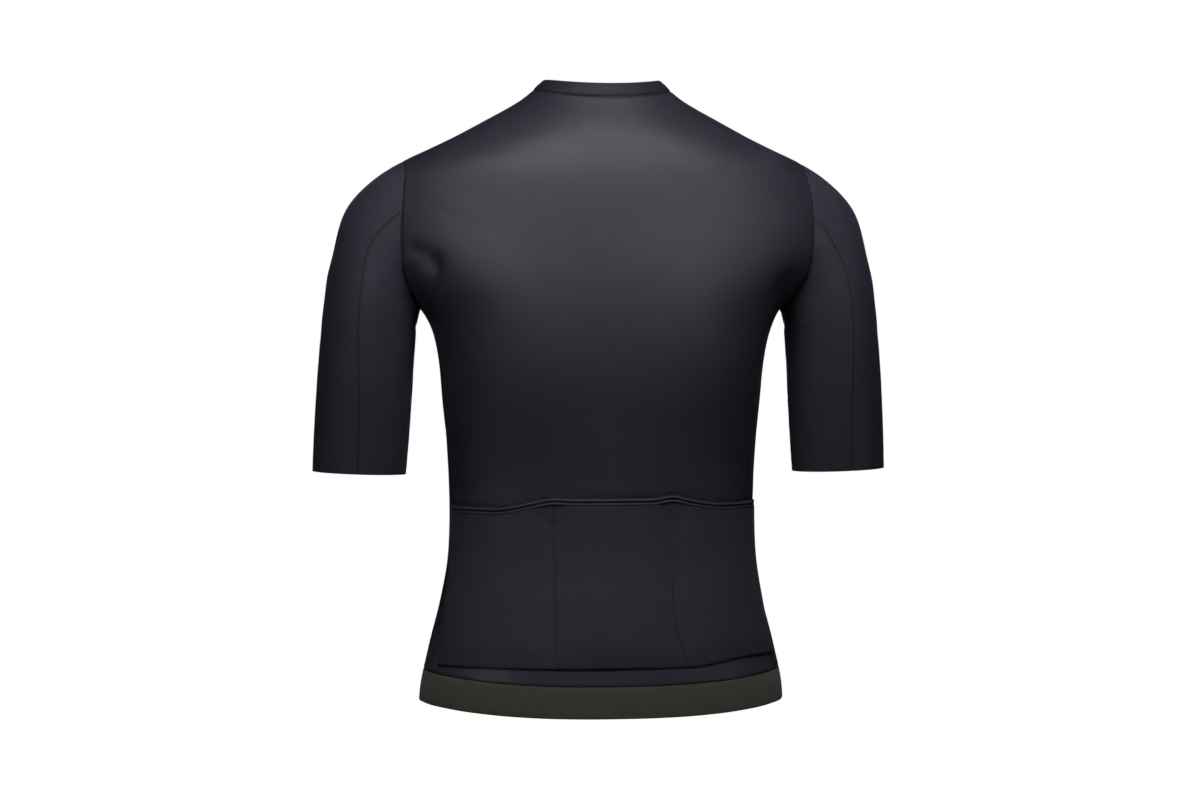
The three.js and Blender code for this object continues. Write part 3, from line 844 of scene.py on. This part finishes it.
# Rear pockets: one panel on the back, sewn down at two dividers and along its floor
pocketForm = {
    "columns": 150, "rows": 70, "seat": 0.6, "wall": 1.2,
    "top": -426.3, "bottom": -602.0,
    "leftDrop": 10.0, "rightDrop": 6.5,  # the mouth is lower at the sides
    "divider": 62.0, "dividerSpread": 18.0,  # the right divider runs out by this much at its foot
    "rightFloorRise": 8.0,
    "fullness": 1.5,  # how far each pocket stands off between its seams
    "bindingHeight": 8.0, "bindingWall": 2.2, "bindingRows": 26, "ridge": 1.1,
    "taper": 20.0, "endSink": 1.6,  # the edge flattens into the side seams
    "leftPeak": 1.0, "rightPeak": 3.0, "peakWidth": 13.0,  # the mouth is drawn up at each divider
    "gathers": [
        # x, z, turn, length, width and depth of the small folds under the mouth at the dividers
        (66, -452, 62, 15, 2.6, -0.9),
        (57, -454, 118, 13, 2.4, -0.8),
        (74, -447, 28, 15, 2.8, -0.6),
        (49, -447, 152, 13, 2.6, -0.5),
        (61, -466, 92, 24, 3.0, 0.6),
        (-60, -452, 62, 14, 2.6, -0.9),
        (-69, -455, 120, 15, 2.4, -0.9),
        (-52, -447, 26, 13, 2.6, -0.6),
        (-78, -447, 150, 14, 2.8, -0.5),
        (-64, -468, 88, 22, 3.0, 0.6),
        (110, -520, 70, 60, 14, 0.7),
        (128, -482, 50, 34, 9, -0.6),
        (16, -540, 84, 64, 16, 0.6),
        (-20, -500, 96, 40, 12, -0.4),
        (-118, -530, 100, 60, 15, 0.6),
        (-96, -486, 130, 34, 10, -0.5),
    ],
}


def pocketMouth(x):
    drop = np.where(x > 0, pocketForm["leftDrop"], pocketForm["rightDrop"])
    height = np.where(x > 0, pocketForm["leftPeak"], pocketForm["rightPeak"])
    peak = height * bell(np.abs(x) - pocketForm["divider"], pocketForm["peakWidth"])
    return pocketForm["top"] - drop * smooth((np.abs(x) - pocketForm["divider"]) / 60) + peak


def pocketFloor(x):
    rise = pocketForm["rightFloorRise"] * smooth((-x - 78) / 70)
    return pocketForm["bottom"] + body["tailDrop"] * (1 - np.clip(np.abs(x) / 186, 0, 1) ** 2.4) + rise


# Each divider's distance from the centre plane at a level
def dividerPlace(level, side):
    low = np.clip((-level - 530) / 74, 0, 1) ** 1.6
    spread = pocketForm["dividerSpread"] if side < 0 else 0.0
    return side * (pocketForm["divider"] + spread * low)


# Grid on the back between two heights: three pockets, whose columns close up and bend with each divider
def pocketGrid(low, high, rows):
    steps = closeSteps(pocketForm["columns"] // 3, 0.03, 5)
    which = np.repeat([0, 1, 2], len(steps) - 1)
    place = np.tile(steps[:-1], 3)
    which, place = np.append(which, 2)[None, :], np.append(place, 1.0)[None, :]
    share = closeSteps(rows, 0.03, 4)[:, None]
    level = np.full(np.broadcast(place, share).shape, -500.0)
    for _ in range(4):
        edge = evenFrom(level, backEdge(level) - seamTrim)
        right = -evenFrom(level, angleAt(level, -dividerPlace(level, -1)))
        left = evenFrom(level, angleAt(level, dividerPlace(level, 1)))
        start = np.choose(which, [-edge, right, left])
        end = np.choose(which, [right, left, edge])
        points = bodyPoint(level, evenTo(level, mix(start, end, place)))
        level = mix(low(points[..., 0]), high(points[..., 0]), share)
    return points, level


def pocketPanel():
    binding = pocketForm["bindingHeight"] - 0.6
    grid, level = pocketGrid(pocketFloor, lambda x: pocketMouth(x) - binding, pocketForm["rows"])
    edges = edgesOf(grid)
    x, z = grid[..., 0], grid[..., 2]
    fromLeft = np.abs(x - dividerPlace(level, 1))
    fromRight = np.abs(x - dividerPlace(level, -1))
    divider = np.minimum(fromLeft, fromRight)
    puckers = 0.16 * np.sin(level / 2.1) * bell(divider - 2.2, 2.4)
    sewn = nearest(edges, "first last low")
    stand = smooth(np.minimum(divider, sewn) / 26) * pocketForm["fullness"]
    seat = pocketForm["seat"] + pocketForm["wall"]
    pulled = -0.8 * bell(divider, 1.1) + puckers
    low = -1.0 * bell(sewn, 1.4)
    relief = seat + stand + pulled + low + foldRelief(pocketForm["gathers"], x, z) * smooth(sewn / 8)
    grid = moved(grid, relief)
    shade = 0.9 * np.maximum(bell(sewn, 0.9), 0.45 * bell(divider, 0.8))
    return clothPiece(
        "pocket_cloth_panel", grid, pocketForm["wall"], pocketCloth, "pocket_panel", shade,
    )


# Binding: two round ridges along the pocket mouth, with a groove between them
def pocketBinding():
    grid, _ = pocketGrid(
        lambda x: pocketMouth(x) - pocketForm["bindingHeight"], pocketMouth, pocketForm["bindingRows"]
    )
    edges = edgesOf(grid)
    height = edges["low"] / (edges["low"] + edges["high"])
    ridges = pocketForm["ridge"] * np.sin(2 * math.pi * height) ** 2
    x = grid[..., 0]
    divider = np.minimum(np.abs(x - pocketForm["divider"]), np.abs(x + pocketForm["divider"]))
    pinch = -0.5 * bell(divider, 2.2) + 0.18 * np.sin(x / 3.1) * bell(divider, 16)
    sides = smooth(nearest(edges, "first last") / pocketForm["taper"])
    sunk = pocketForm["endSink"]
    relief = pocketForm["seat"] + pocketForm["bindingWall"] - 0.3 + (ridges + pinch + sunk) * sides - sunk
    groove = bell(height - 0.5, 0.13)
    shade = 0.85 * np.maximum(groove, np.maximum(bell(height, 0.12), bell(1 - height, 0.1)))
    piece = gridObject("pocket_binding_edge", moved(grid, relief), trunkInside, shade)
    return finishPiece(solidify(piece, pocketForm["bindingWall"]), pocketCloth, "pocket_binding")


# Point and outward normal of the body at levels and angles
def bodyFrame(level, angle):
    step = 0.01
    point = bodyPoint(level, angle)
    aside = bodyPoint(level, angle + step) - bodyPoint(level, angle - step)
    upwards = bodyPoint(level + 1, angle) - bodyPoint(level - 1, angle)
    return point, facing(unit(np.cross(aside, upwards)), point * [1, 1, 0])


# Points of a path at given lengths along it
def pointsAt(path, reach, at):
    return np.stack([np.interp(at, reach, path[:, k]) for k in range(3)], axis=-1)


# Row of stitches: small rods with round ends along a path, each a ring profile carried along its tangent
stitchProfile = table("lengthwise girth sink", [
    (-1.0, 0.12, -0.9),
    (-0.82, 0.72, -0.25),
    (-0.3, 1.0, 0.0),
    (0.3, 1.0, 0.0),
    (0.82, 0.72, -0.25),
    (1.0, 0.12, -0.9),
])
stitchSides = 6
threadForm = {
    "pitch": 3.0, "length": 2.3, "radius": 0.24, "lift": 0.05,
    "hemRows": (1.6, 4.2),  # heights of the twin rows over the hem seam
    "fromZip": 4.5, "fromFloor": 2.4, "collarHeight": 0.2,
}
collarThread = {**threadForm, "length": 2.2, "radius": 0.22}


def stitchRow(path, normal, form=threadForm, lift=0.0):
    reach = np.r_[0, np.linalg.norm(np.diff(path, axis=0), axis=-1).cumsum()]
    count = max(2, int(reach[-1] / form["pitch"]))
    at = (np.arange(count) + 0.5) * reach[-1] / count
    centre, up = pointsAt(path, reach, at), pointsAt(normal, reach, at)
    tangent = unit(pointsAt(path, reach, at + 0.5) - pointsAt(path, reach, at - 0.5))
    side = unit(np.cross(up, tangent))
    lengthwise, girth, sink = (column[:, None] for column in stitchProfile.values())
    turn = np.arange(stitchSides) * 2 * math.pi / stitchSides
    local = np.stack([
        np.broadcast_to(lengthwise * form["length"] / 2, (len(girth), stitchSides)),
        girth * np.cos(turn) * form["radius"],
        girth * np.sin(turn) * form["radius"] * 0.8 + sink * form["radius"],
    ], axis=-1).reshape(-1, 3)
    points = centre[:, None] + up[:, None] * (form["lift"] + lift) + tangent[:, None] * local[None, :, 0:1]
    return points + side[:, None] * local[None, :, 1:2] + up[:, None] * local[None, :, 2:3]


# Many small closed solids as one mesh: each is a stack of rings with a flat face at both ends
def joined(name, points, sides, finish, node=None, soft=True):
    ring = np.arange(points.shape[1]).reshape(-1, sides)
    after = np.roll(ring, -1, axis=1)
    walls = np.stack([ring[:-1], after[:-1], after[1:], ring[1:]], axis=-1).reshape(-1, 4)
    start = (np.arange(len(points)) * points.shape[1])[:, None]
    faces = (start[:, None] + walls[None]).reshape(-1, 4).tolist()
    faces += (start + ring[0, ::-1]).tolist() + (start + ring[-1]).tolist()
    mesh = bpy.data.meshes.new(name)
    mesh.from_pydata((points * mm).reshape(-1, 3), [], faces)
    if soft:
        mesh.shade_smooth()
    made = bmesh.new()
    made.from_mesh(mesh)
    bmesh.ops.recalc_face_normals(made, faces=made.faces)
    made.to_mesh(mesh)
    made.free()
    return finishPiece(linked(name, mesh), finish, node)


def rowOnBody(level, angle, lift=0.0):
    return stitchRow(*bodyFrame(level, angle), lift=lift)


# Rows of thread: twin rows over the hem seam, one beside each zip edge and one above the collar seam
def threads():
    rows = []
    place = np.linspace(-0.99, 0.99, 900)
    for offset in threadForm["hemRows"]:
        level = np.full(place.shape, seamLevel + offset)
        rows.append(rowOnBody(level, roundBody(level, place)))
    for side in (-1, 1):
        level = np.linspace(seamLevel + 6, -body["neckFrontDrop"] - 4, 600)
        angle = math.pi - angleAt(level, body["zipOpening"] + threadForm["fromZip"])
        rows.append(rowOnBody(level, side * angle))
    turn = np.linspace(-collarEnd + 0.03, collarEnd - 0.03, 700)
    seamPath = neckPoint(turn)
    upper = collarPoint(turn, np.full(turn.shape, threadForm["collarHeight"]))
    normal = unit(np.cross(np.gradient(upper, axis=0), upper - seamPath))
    normal = facing(normal, seamPath - [0, collarForm["axisY"], 0])
    rows.append(stitchRow(upper, normal, collarThread))
    return joined("body_stitching", np.concatenate(rows), stitchSides, (sewingThread, "body_cloth"))


# Rows of thread on the pockets: one along the floor and one down each divider
def pocketThreads():
    place = np.linspace(-0.985, 0.985, 420)
    level = np.full(place.shape, pocketForm["bottom"])
    for _ in range(3):
        x = bodyPoint(level, evenTo(level, place * evenFrom(level, backEdge(level))))[..., 0]
        level = pocketFloor(x) + threadForm["fromFloor"]
    lift = pocketForm["seat"] + pocketForm["wall"]
    rows = [rowOnBody(level, evenTo(level, place * evenFrom(level, backEdge(level))), lift - 0.15)]
    for side in (-1, 1):
        level = np.linspace(pocketFloor(side * 66.0) + 3, pocketMouth(side * 62.0) - 10, 260)
        x = np.abs(dividerPlace(level, side))
        rows.append(rowOnBody(level, side * angleAt(level, x), lift - 0.75))
    return joined("pocket_stitching", np.concatenate(rows), stitchSides, (sewingThread, "pocket_cloth"))


# Zip path up the centre front: body, then collar, with place from 0 at the hem to 1 at the collar's top
zipForm = {
    "neck": 0.96, "chainHalf": 2.2, "tapeGap": 0.05, "tapeEdge": 14.0, "tapeWall": 1.0, "tapeLift": -2.05,
    "pitch": 2.6, "bottom": 0.014, "top": 0.975,
    "toothWidth": 3.0, "toothHeight": 1.5, "toothDepth": 2.2, "toothLift": -1.6,
}


def zipPath(place):
    place = np.asarray(place, float)
    level = mix(body["sideHem"], -body["neckFrontDrop"], place / zipForm["neck"])
    low = bodyPoint(level, np.full(place.shape, math.pi))
    height = (place - zipForm["neck"]) / (1 - zipForm["neck"])
    high = collarPoint(np.full(place.shape, math.pi), height)
    return np.where((place < zipForm["neck"])[..., None], low, high) * [0, 1, 1]


# Forward normal of the zip path, in the centre plane
def zipNormal(place):
    step = zipPath(np.minimum(place + 0.004, 1)) - zipPath(np.maximum(place - 0.004, 0))
    return unit(np.stack([0 * place, -step[..., 2], step[..., 1]], axis=-1))


def zipTape(side):
    name = "left" if side > 0 else "right"
    place = closeSteps(220, 0.004, 3)[:, None]
    x = mix(zipForm["tapeGap"], zipForm["tapeEdge"], closeSteps(12, 0.1, 3))[None, :]
    place, x = np.broadcast_arrays(place, x)
    grid = zipPath(place) + zipNormal(place) * zipForm["tapeLift"]
    grid = grid + np.stack([side * x, 0 * x, 0 * x], axis=-1)
    cordRidge = 0.5 * bell(x - zipForm["chainHalf"] - 0.9, 0.6)
    grid = grid + zipNormal(place) * cordRidge[..., None]
    return clothPiece(f"zip_tape_weave_{name}", grid, zipForm["tapeWall"], tapeCloth, f"zip_tape_{name}")


# Teeth: rounded blocks with a head past the centre line, in two rows half a pitch apart.
# Each is a rounded rectangle profile, drawn in at its two faces, carried out of the zip.
def zipTeeth():
    fine = np.linspace(zipForm["bottom"], zipForm["top"], 1200)
    path = zipPath(fine)
    reach = np.r_[0, np.linalg.norm(np.diff(path, axis=0), axis=-1).cumsum()]
    count = int(reach[-1] / zipForm["pitch"])
    turn = (np.arange(12) + 0.5) * math.pi / 6
    outlineX = np.sign(np.cos(turn)) * np.abs(np.cos(turn)) ** 0.45
    outlineZ = np.sign(np.sin(turn)) * np.abs(np.sin(turn)) ** 0.6
    head = 1 + 0.25 * smooth(-outlineX)
    out = np.array([-0.5, -0.36, 0.36, 0.5])
    shrink = np.array([0.78, 1.0, 1.0, 0.78])
    allPoints = []
    for side in (-1, 1):
        at = (np.arange(count) + (0.25 if side < 0 else 0.75)) * zipForm["pitch"]
        place = np.interp(at, reach, fine)
        centre, normal = zipPath(place), zipNormal(place)
        upwards = np.cross(normal, [1.0, 0, 0])
        upwards *= np.sign(upwards[:, 2:3])
        localX = side * (0.85 + outlineX * zipForm["toothWidth"] / 2)
        localX = np.clip(localX, -zipForm["chainHalf"], zipForm["chainHalf"])
        localZ = outlineZ * head * zipForm["toothHeight"] / 2
        localY = out * zipForm["toothDepth"]
        shape = np.stack([
            shrink[:, None] * localX[None] + (1 - shrink[:, None]) * side * 0.85,
            np.broadcast_to(localY[:, None], (4, 12)),
            shrink[:, None] * localZ[None],
        ], axis=-1).reshape(-1, 3)
        points = centre[:, None] + normal[:, None] * (shape[None, :, 1:2] + zipForm["toothLift"])
        points = points + upwards[:, None] * shape[None, :, 2:3]
        points = points + np.array([1.0, 0, 0]) * shape[None, :, 0:1]
        allPoints.append(points)
    return joined("zip_teeth", np.concatenate(allPoints), 12, zipNylon, "zip_chain", soft=False)


# A hard part with its edges broken: a merged copy of the solid with a small bevel
def broken(node, name, finish, bodyName, edge):
    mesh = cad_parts[node].data.copy()
    mesh.name = name
    mesh.materials.clear()
    made = bmesh.new()
    made.from_mesh(mesh)
    bmesh.ops.remove_doubles(made, verts=made.verts, dist=1e-6)
    bmesh.ops.dissolve_limit(made, angle_limit=math.radians(2), verts=made.verts, edges=made.edges)
    made.to_mesh(mesh)
    made.free()
    piece = linked(name, mesh)
    bevel = piece.modifiers.new("edges", "BEVEL")
    bevel.width = edge * mm
    bevel.segments = 2
    bevel.limit_method = "ANGLE"
    bevel.angle_limit = math.radians(40)
    return finishPiece(piece, finish, node, bodyName)


# Overlocked edge inside each seam: a flat roll a little under the cloth, an oval carried along the seam
rollForm = {"wide": 2.4, "high": 0.7, "under": 1.75, "sides": 8}


def seamRoll(name, path, normal, finish):
    side = unit(np.cross(normal, unit(np.gradient(path, axis=0))))
    turn = np.arange(rollForm["sides"]) * 2 * math.pi / rollForm["sides"]
    ring = (
        side[:, None] * (rollForm["wide"] * np.cos(turn))[None, :, None]
        + normal[:, None] * (rollForm["high"] * np.sin(turn))[None, :, None]
    )
    size = np.ones(len(path))
    size[[0, -1]] = 0.02
    centre = path - normal * rollForm["under"]
    grid = centre[:, None] + ring * size[:, None, None]
    return finishPiece(gridObject(name, grid, centre[len(path) // 2], wrap=True), finish)


# Each seam of one side as a path with outward normals, on the wearer's left, and its finish
def sideSeams(side):
    turn = np.linspace(0, 2 * math.pi, 181)
    path = armholePoint(turn)
    away = unit(sleevePoint(turn, np.full(turn.shape, 0.012)) - path)
    normal = path - path.mean(axis=0)
    normal -= away * (normal * away).sum(axis=-1, keepdims=True)
    yield "armhole_overlock", path, unit(normal), bodyCloth
    level = np.linspace(seamLevel, body["armpit"], 160)
    yield "side_overlock", *bodyFrame(level, backEdge(level)), bodyCloth
    level = -np.linspace(1.0, -body["shoulderTip"] - 1, 90)
    yield "shoulder_overlock", *bodyFrame(level, np.full(level.shape, math.pi / 2)), bodyCloth
    for which, sign in (("back", 1), ("front", -1)):
        place = np.linspace(0.01, 0.995, 120)
        turn = np.radians(sign * sleeveSeam(place, side, sign > 0))
        path = sleevePoint(turn, place)
        aside = sleevePoint(turn + 0.02, place) - sleevePoint(turn - 0.02, place)
        normal = unit(np.cross(aside, np.gradient(path, axis=0)))
        yield f"sleeve_overlock_{which}", path, facing(normal, path * [0, 1, 0]), sleeveCloth


def seamRolls():
    pieces = []
    for side, name in ((1, "left"), (-1, "right")):
        mirror = np.array([side, 1, 1])
        for seam, path, normal, finish in sideSeams(side):
            pieces.append(seamRoll(f"{seam}_{name}", path * mirror, normal * mirror, finish))
    place = np.linspace(-0.995, 0.995, 420)
    level = np.full(place.shape, seamLevel)
    pieces.append(seamRoll("hem_overlock", *bodyFrame(level, roundBody(level, place)), bodyCloth))
    return pieces


back = backPanel()
fronts = [frontPanel(side) for side in (1, -1)]
sleeves = [sleevePanel(kind, side) for side in (1, -1) for kind in ("outer", "under")]
collarPiece = collar()
hem = hemBand()
print("cloth panels made")
binding = pocketBinding()
pocketStitching = pocketThreads()
pocket = pocketPanel()
print("pockets made")
stitching = threads()
rolls = seamRolls()
print("sewing made")
tapes = [zipTape(side) for side in (1, -1)]
teeth = zipTeeth()
zipBox = broken("zip_box", "zip_bottom_stop", zipNylon, "jersey", 0.4)
slider = broken("zip_slider", "zip_slider_body", zipMetal, "jersey", 0.3)
pull = broken("zip_pull", "zip_pull_tab", zipMetal, "pull", 0.35)
print("zip made")

# Camera at the photo's height and angle
cameraForm = {
    "azimuth": 172.0, "elevation": 2.0, "distance": 4.0, "target": (0.0017, 0.0, -0.327), "lens": 113.2,
}


def awayFrom(azimuth, elevation):
    a, e = math.radians(azimuth), math.radians(elevation)
    return Vector((math.sin(a) * math.cos(e), -math.cos(a) * math.cos(e), math.sin(e)))


def makeCamera():
    data = bpy.data.cameras.new("camera")
    data.lens = cameraForm["lens"]
    data.sensor_width = 36
    data.clip_end = 100
    camera = bpy.data.objects.new("camera", data)
    away = awayFrom(cameraForm["azimuth"], cameraForm["elevation"])
    camera.location = Vector(cameraForm["target"]) + away * cameraForm["distance"]
    camera.rotation_euler = away.to_track_quat("Z", "Y").to_euler()
    bpy.context.scene.collection.objects.link(camera)
    bpy.context.scene.camera = camera


# Soft light from above on the yoke, faint wide beams on the back, and weak light from both sides and the front
lights = {
    # kind, place, target, width and height in metres (a beam also its spread in degrees), watts
    "yoke_light": ("AREA", (0.0, 0.78, 0.9), (0.0, 0.1, -0.15), (1.4, 0.5), 22.0),
    "left_beam": ("BEAM", (1.3, 2.7, 0.0), (0.125, 0.1, -0.115), (0.24, 0.12, 8.0), 0.106),
    "right_beam": ("BEAM", (-1.3, 2.7, 0.0), (-0.13, 0.1, -0.11), (0.24, 0.12, 8.0), 0.102),
    "back_beam": ("BEAM", (0.0, 3.0, -0.1), (0.0, 0.1, -0.31), (0.12, 0.2, 9.0), 0.034),
    "left_low": ("BEAM", (2.4, 1.8, -0.45), (0.2, 0.05, -0.5), (0.4, 0.4, 12.0), 0.07),
    "right_low": ("BEAM", (-2.4, 1.8, -0.45), (-0.2, 0.05, -0.5), (0.4, 0.4, 12.0), 0.025),
    "left_side": ("AREA", (2.2, 1.8, 0.0), (0.2, 0.0, -0.3), (0.8, 1.8), 0.8),
    "right_side": ("AREA", (-2.2, 1.8, 0.0), (-0.2, 0.0, -0.3), (0.8, 1.8), 0.5),
    "front_light": ("AREA", (-0.44, -3.13, -0.35), (0.0, -0.1, -0.33), (0.4, 0.4), 60.0),
}
surroundLight = 0.012


def makeLights():
    for name, (kind, place, target, size, watts) in lights.items():
        data = bpy.data.lights.new(name, "AREA")
        data.energy = watts
        data.shape = "RECTANGLE"
        data.size, data.size_y = size[:2]
        if kind == "BEAM":
            data.spread = math.radians(size[2])
        light = bpy.data.objects.new(name, data)
        light.location = place
        light.rotation_euler = (Vector(place) - Vector(target)).to_track_quat("Z", "Y").to_euler()
        bpy.context.scene.collection.objects.link(light)


# Pale floor and surround. The surround is white behind the jersey, and a dim even light on it.
def makeStage():
    world = bpy.data.worlds.new("studio")
    bpy.context.scene.world = world
    world.use_nodes = True
    tree = world.node_tree
    tree.nodes.clear()
    seen = tree.nodes.new("ShaderNodeBackground")
    seen.inputs["Color"].default_value = colour(1, 1, 1)
    lit = tree.nodes.new("ShaderNodeBackground")
    lit.inputs["Color"].default_value = colour(0.86, 0.88, 1.0)
    lit.inputs["Strength"].default_value = surroundLight
    path = tree.nodes.new("ShaderNodeLightPath")
    both = tree.nodes.new("ShaderNodeMixShader")
    out = tree.nodes.new("ShaderNodeOutputWorld")
    tree.links.new(path.outputs["Is Camera Ray"], both.inputs[0])
    tree.links.new(lit.outputs[0], both.inputs[1])
    tree.links.new(seen.outputs[0], both.inputs[2])
    tree.links.new(both.outputs[0], out.inputs[0])
    floorFinish = Finish("pale_floor")
    speck = floorFinish.noise(400.0, 2.0)
    tone = floorFinish.blend(speck, colour(0.98, 0.98, 0.98), colour(1, 1, 1))
    floorFinish.finish(Base_Color=tone, Roughness=0.9, Emission_Color=colour(1, 1, 1), Emission_Strength=1.0)
    mesh = bpy.data.meshes.new("floor")
    half, level = 60.0, -1.2
    corners = [(-half, -half, level), (half, -half, level), (half, half, level), (-half, half, level)]
    mesh.from_pydata(corners, [], [(0, 1, 2, 3)])
    mesh.materials.append(floorFinish.material)
    floor = linked("floor", mesh)
    floor.visible_diffuse = floor.visible_glossy = False


makeCamera()
makeLights()
makeStage()
bpy.context.scene.view_settings.view_transform = "Standard"
print("camera, light and floor made")
